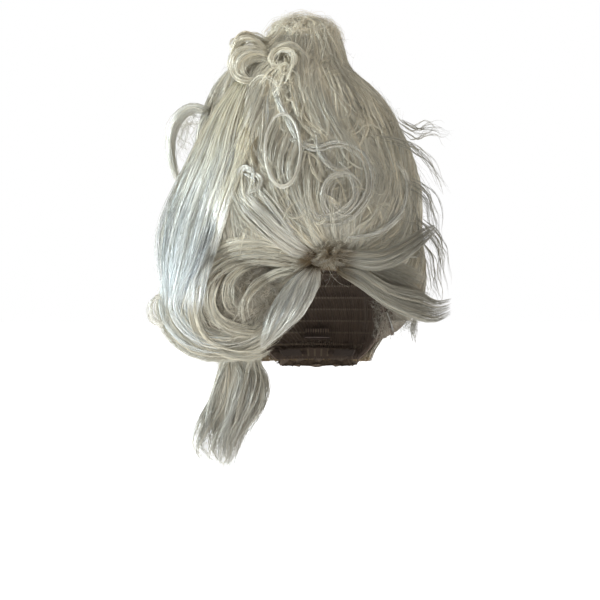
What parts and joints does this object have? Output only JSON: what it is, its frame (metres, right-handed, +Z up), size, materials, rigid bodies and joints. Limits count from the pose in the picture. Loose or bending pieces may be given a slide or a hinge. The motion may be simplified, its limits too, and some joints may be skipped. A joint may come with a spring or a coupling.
{
  "type": "costume wig",
  "caption": "Tall pale costume updo wig: piled and curled hair over a wire cage on an elastic net cap with straps and snap clips, with a hanging side tail.",
  "frame": {"origin": "middle of the head that the cap holds, level with the tops of the ears", "axes": "+Z up, the wearer looks along -Y, the wearer's left is +X"},
  "size_m": [0.3242, 0.2597, 0.5211],
  "materials": {
    "net": "fine elastic net, brown",
    "band": "woven elastic tape",
    "weft": "machine-sewn hair root seam",
    "tab": "lined cloth",
    "wire": "drawn wire",
    "elastic": "ribbed elastic",
    "clip_metal": "enamelled spring steel",
    "grip": "soft strip",
    "sleeve": "open crinoline",
    "hair": "glossy synthetic fibre",
    "hair_pale": "glossy synthetic fibre, brushed smooth",
    "tie": "covered elastic cord",
    "pin": "enamelled wire"
  },
  "bodies": {
    "root": {"cap_net": "net", "front_band": "band", "nape_band": "band", "weft_rows": "weft", "ladder_tape": "band", "ladder_loops": "weft", "clip_bases": "clip_metal", "clip_grips": "grip", "cage_rings": "wire", "cage_ribs": "wire", "cage_legs": "wire", "cage_sleeve": "sleeve", "hair_front_panel": "hair", "hair_back_panel": "hair", "hair_left_panel": "hair", "hair_right_panel": "hair", "side_roll": "hair", "sweep_lock": "hair_pale", "long_sweep": "hair_pale", "swirl_curls": "hair_pale", "crown_curls": "hair_pale", "knot_tie": "tie", "hairpins": "pin"},
    "ear_tab_left": {"ear_tab_left": "tab", "ear_stay_left": "wire"},
    "ear_tab_right": {"ear_tab_right": "tab", "ear_stay_right": "wire"},
    "adjuster_left": {"adjuster_strap_left": "elastic", "adjuster_hook_left": "clip_metal"},
    "adjuster_right": {"adjuster_strap_right": "elastic", "adjuster_hook_right": "clip_metal"},
    "comb_front": {"clip_comb_front": "clip_metal"},
    "comb_left": {"clip_comb_left": "clip_metal"},
    "comb_right": {"clip_comb_right": "clip_metal"},
    "comb_nape": {"clip_comb_nape": "clip_metal"},
    "forelock": {"forelock": "hair_pale"},
    "wing_upper": {"wing_upper": "hair"},
    "wing_lower": {"wing_lower": "hair"},
    "side_loop": {"side_loop": "hair_pale"},
    "front_loop": {"front_loop": "hair_pale"},
    "knot": {"top_knot": "hair"},
    "tail_root": {"tail_tie": "tie", "tail_neck": "hair"},
    "tail": {"tail_hair": "hair"}
  },
  "joints": [
    {"name": "ear_tab_left_bend", "type": "hinge", "parent": "root", "child": "ear_tab_left", "pos_m": [0.0775, -0.025, 0.0066], "axis": [0, 1, 0], "range_deg": [0, 34]},
    {"name": "ear_tab_right_bend", "type": "hinge", "parent": "root", "child": "ear_tab_right", "pos_m": [-0.0775, -0.025, 0.0066], "axis": [0, -1, 0], "range_deg": [0, 16]},
    {"name": "adjuster_left_slide", "type": "hinge", "parent": "root", "child": "adjuster_left", "pos_m": [0, 0.0332, -0.0445], "axis": [0, 0, 1], "range_deg": [-6, 11]},
    {"name": "adjuster_right_slide", "type": "hinge", "parent": "root", "child": "adjuster_right", "pos_m": [0, 0.0332, -0.0445], "axis": [0, 0, -1], "range_deg": [-6, 11]},
    {"name": "clip_front_snap", "type": "hinge", "parent": "root", "child": "comb_front", "pos_m": [0, -0.06575, 0.06383], "axis": [-1, 0, 0], "range_deg": [0, 55]},
    {"name": "clip_left_snap", "type": "hinge", "parent": "root", "child": "comb_left", "pos_m": [0.05765, -0.04041, 0.03635], "axis": [-0.3855, -0.9227, 0], "range_deg": [0, 55]},
    {"name": "clip_right_snap", "type": "hinge", "parent": "root", "child": "comb_right", "pos_m": [-0.05765, -0.04041, 0.03635], "axis": [-0.3855, 0.9227, 0], "range_deg": [0, 55]},
    {"name": "clip_nape_snap", "type": "hinge", "parent": "root", "child": "comb_nape", "pos_m": [0, 0.08867, -0.02619], "axis": [1, 0, 0], "range_deg": [0, 55]},
    {"name": "forelock_lift", "type": "hinge", "parent": "root", "child": "forelock", "pos_m": [-0.012, -0.112, 0.052], "axis": [-1, 0, 0], "range_deg": [0, 35]},
    {"name": "wing_upper_swing", "type": "hinge", "parent": "root", "child": "wing_upper", "pos_m": [0.027, -0.117, 0.064], "axis": [0, 0, -1], "range_deg": [0, 20]},
    {"name": "wing_lower_swing", "type": "hinge", "parent": "root", "child": "wing_lower", "pos_m": [0.025, -0.117, 0.046], "axis": [0, 0, -1], "range_deg": [0, 20]},
    {"name": "side_loop_swing", "type": "hinge", "parent": "root", "child": "side_loop", "pos_m": [-0.126, -0.026, 0.23], "axis": [0, 1, 0], "range_deg": [0, 30]},
    {"name": "front_loop_lift", "type": "hinge", "parent": "root", "child": "front_loop", "pos_m": [-0.039, -0.098, 0.221], "axis": [-1, 0, 0], "range_deg": [0, 30]},
    {"name": "knot_tilt", "type": "hinge", "parent": "root", "child": "knot", "pos_m": [-0.017, 0, 0.292], "axis": [0, 1, 0], "range_deg": [-8, 8]},
    {"name": "tail_sway", "type": "hinge", "parent": "root", "child": "tail_root", "pos_m": [-0.092, 0.03, -0.017], "axis": [0, 1, 0], "range_deg": [-15, 15]},
    {"name": "tail_swing", "type": "hinge", "parent": "tail_root", "child": "tail", "pos_m": [-0.092, 0.03, -0.047], "axis": [1, 0, 0], "range_deg": [-8, 30]}
  ]
}
